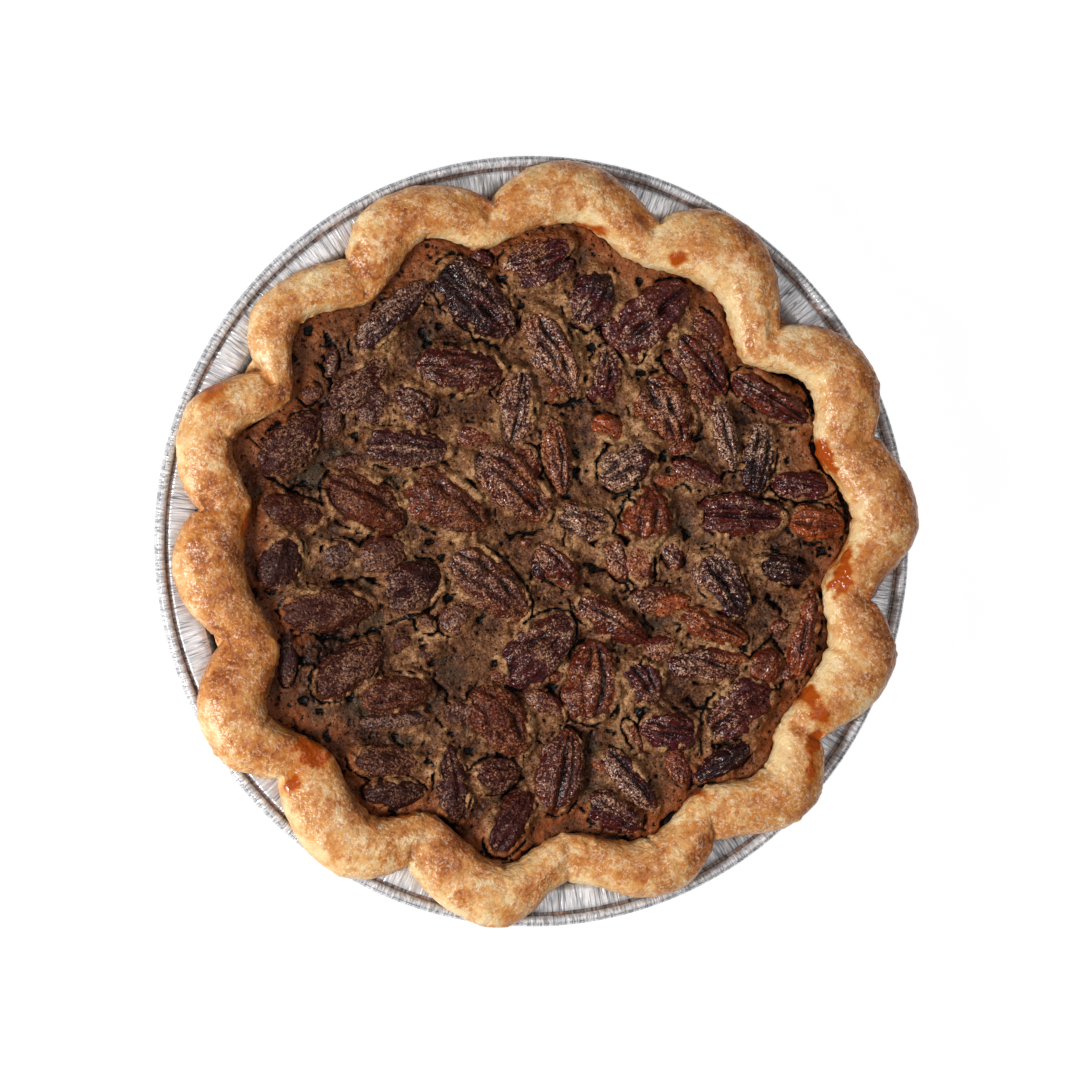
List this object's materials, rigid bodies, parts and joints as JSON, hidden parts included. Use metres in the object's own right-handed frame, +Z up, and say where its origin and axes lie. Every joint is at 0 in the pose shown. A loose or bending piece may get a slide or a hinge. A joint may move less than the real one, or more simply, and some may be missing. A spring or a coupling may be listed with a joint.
{
  "type": "pecan pie",
  "caption": "Round pecan pie in a crimped foil tin, with a pinched rope crust and pecan halves lying on the baked filling.",
  "frame": {"origin": "centre of the tin's foot ring, on the surface that the pie stands on", "axes": "+Z up, along the pie's axis; +X and +Y lie along the surface"},
  "size_m": [0.2472, 0.2452, 0.0441],
  "materials": {
    "foil": "bright pressed foil, fine radial pleats, rolled and crimped rim",
    "pastry": "baked shortcrust, golden and mottled, paler on its inner side, browner on its crests, with a few stains of syrup",
    "custard": "baked brown filling with a dull cracked skin, pits and dark fissures",
    "pecan": "baked pecan halves, ridged, maroon brown, part coated with a speckled tan skin and part glossy"
  },
  "bodies": {
    "root": {"crust": "pastry", "filling": "custard", "pecan_back_02": "pecan", "pecan_back_03": "pecan", "pecan_back_04": "pecan", "pecan_back_05": "pecan", "pecan_back_06": "pecan", "pecan_back_08": "pecan", "pecan_back_10": "pecan", "pecan_back_11": "pecan", "pecan_back_15": "pecan", "pecan_back_16": "pecan", "pecan_back_20": "pecan", "pecan_back_23": "pecan", "pecan_back_26": "pecan", "pecan_back_27": "pecan", "pecan_back_29": "pecan", "pecan_back_30": "pecan", "pecan_back_32": "pecan", "pecan_back_33": "pecan", "pecan_back_36": "pecan", "pecan_back_39": "pecan", "pecan_back_40": "pecan", "pecan_back_41": "pecan", "pecan_back_43": "pecan", "pecan_back_44": "pecan", "pecan_back_46": "pecan", "pecan_back_49": "pecan", "pecan_back_51": "pecan", "pecan_back_52": "pecan", "pecan_back_53": "pecan", "pecan_back_54": "pecan", "pecan_back_56": "pecan", "pecan_back_57": "pecan", "pecan_edge_01": "pecan", "pecan_edge_14": "pecan", "pecan_edge_18": "pecan", "pecan_edge_19": "pecan", "pecan_edge_21": "pecan", "pecan_edge_24": "pecan", "pecan_edge_34": "pecan", "pecan_edge_35": "pecan", "pecan_edge_37": "pecan", "pecan_edge_45": "pecan", "pecan_edge_48": "pecan", "pecan_edge_50": "pecan", "pecan_face_07": "pecan", "pecan_face_09": "pecan", "pecan_face_12": "pecan", "pecan_face_13": "pecan", "pecan_face_17": "pecan", "pecan_face_22": "pecan", "pecan_face_25": "pecan", "pecan_face_28": "pecan", "pecan_face_31": "pecan", "pecan_face_38": "pecan", "pecan_face_42": "pecan", "pecan_face_47": "pecan", "pecan_face_55": "pecan", "tin": "foil"}
  },
  "joints": []
}
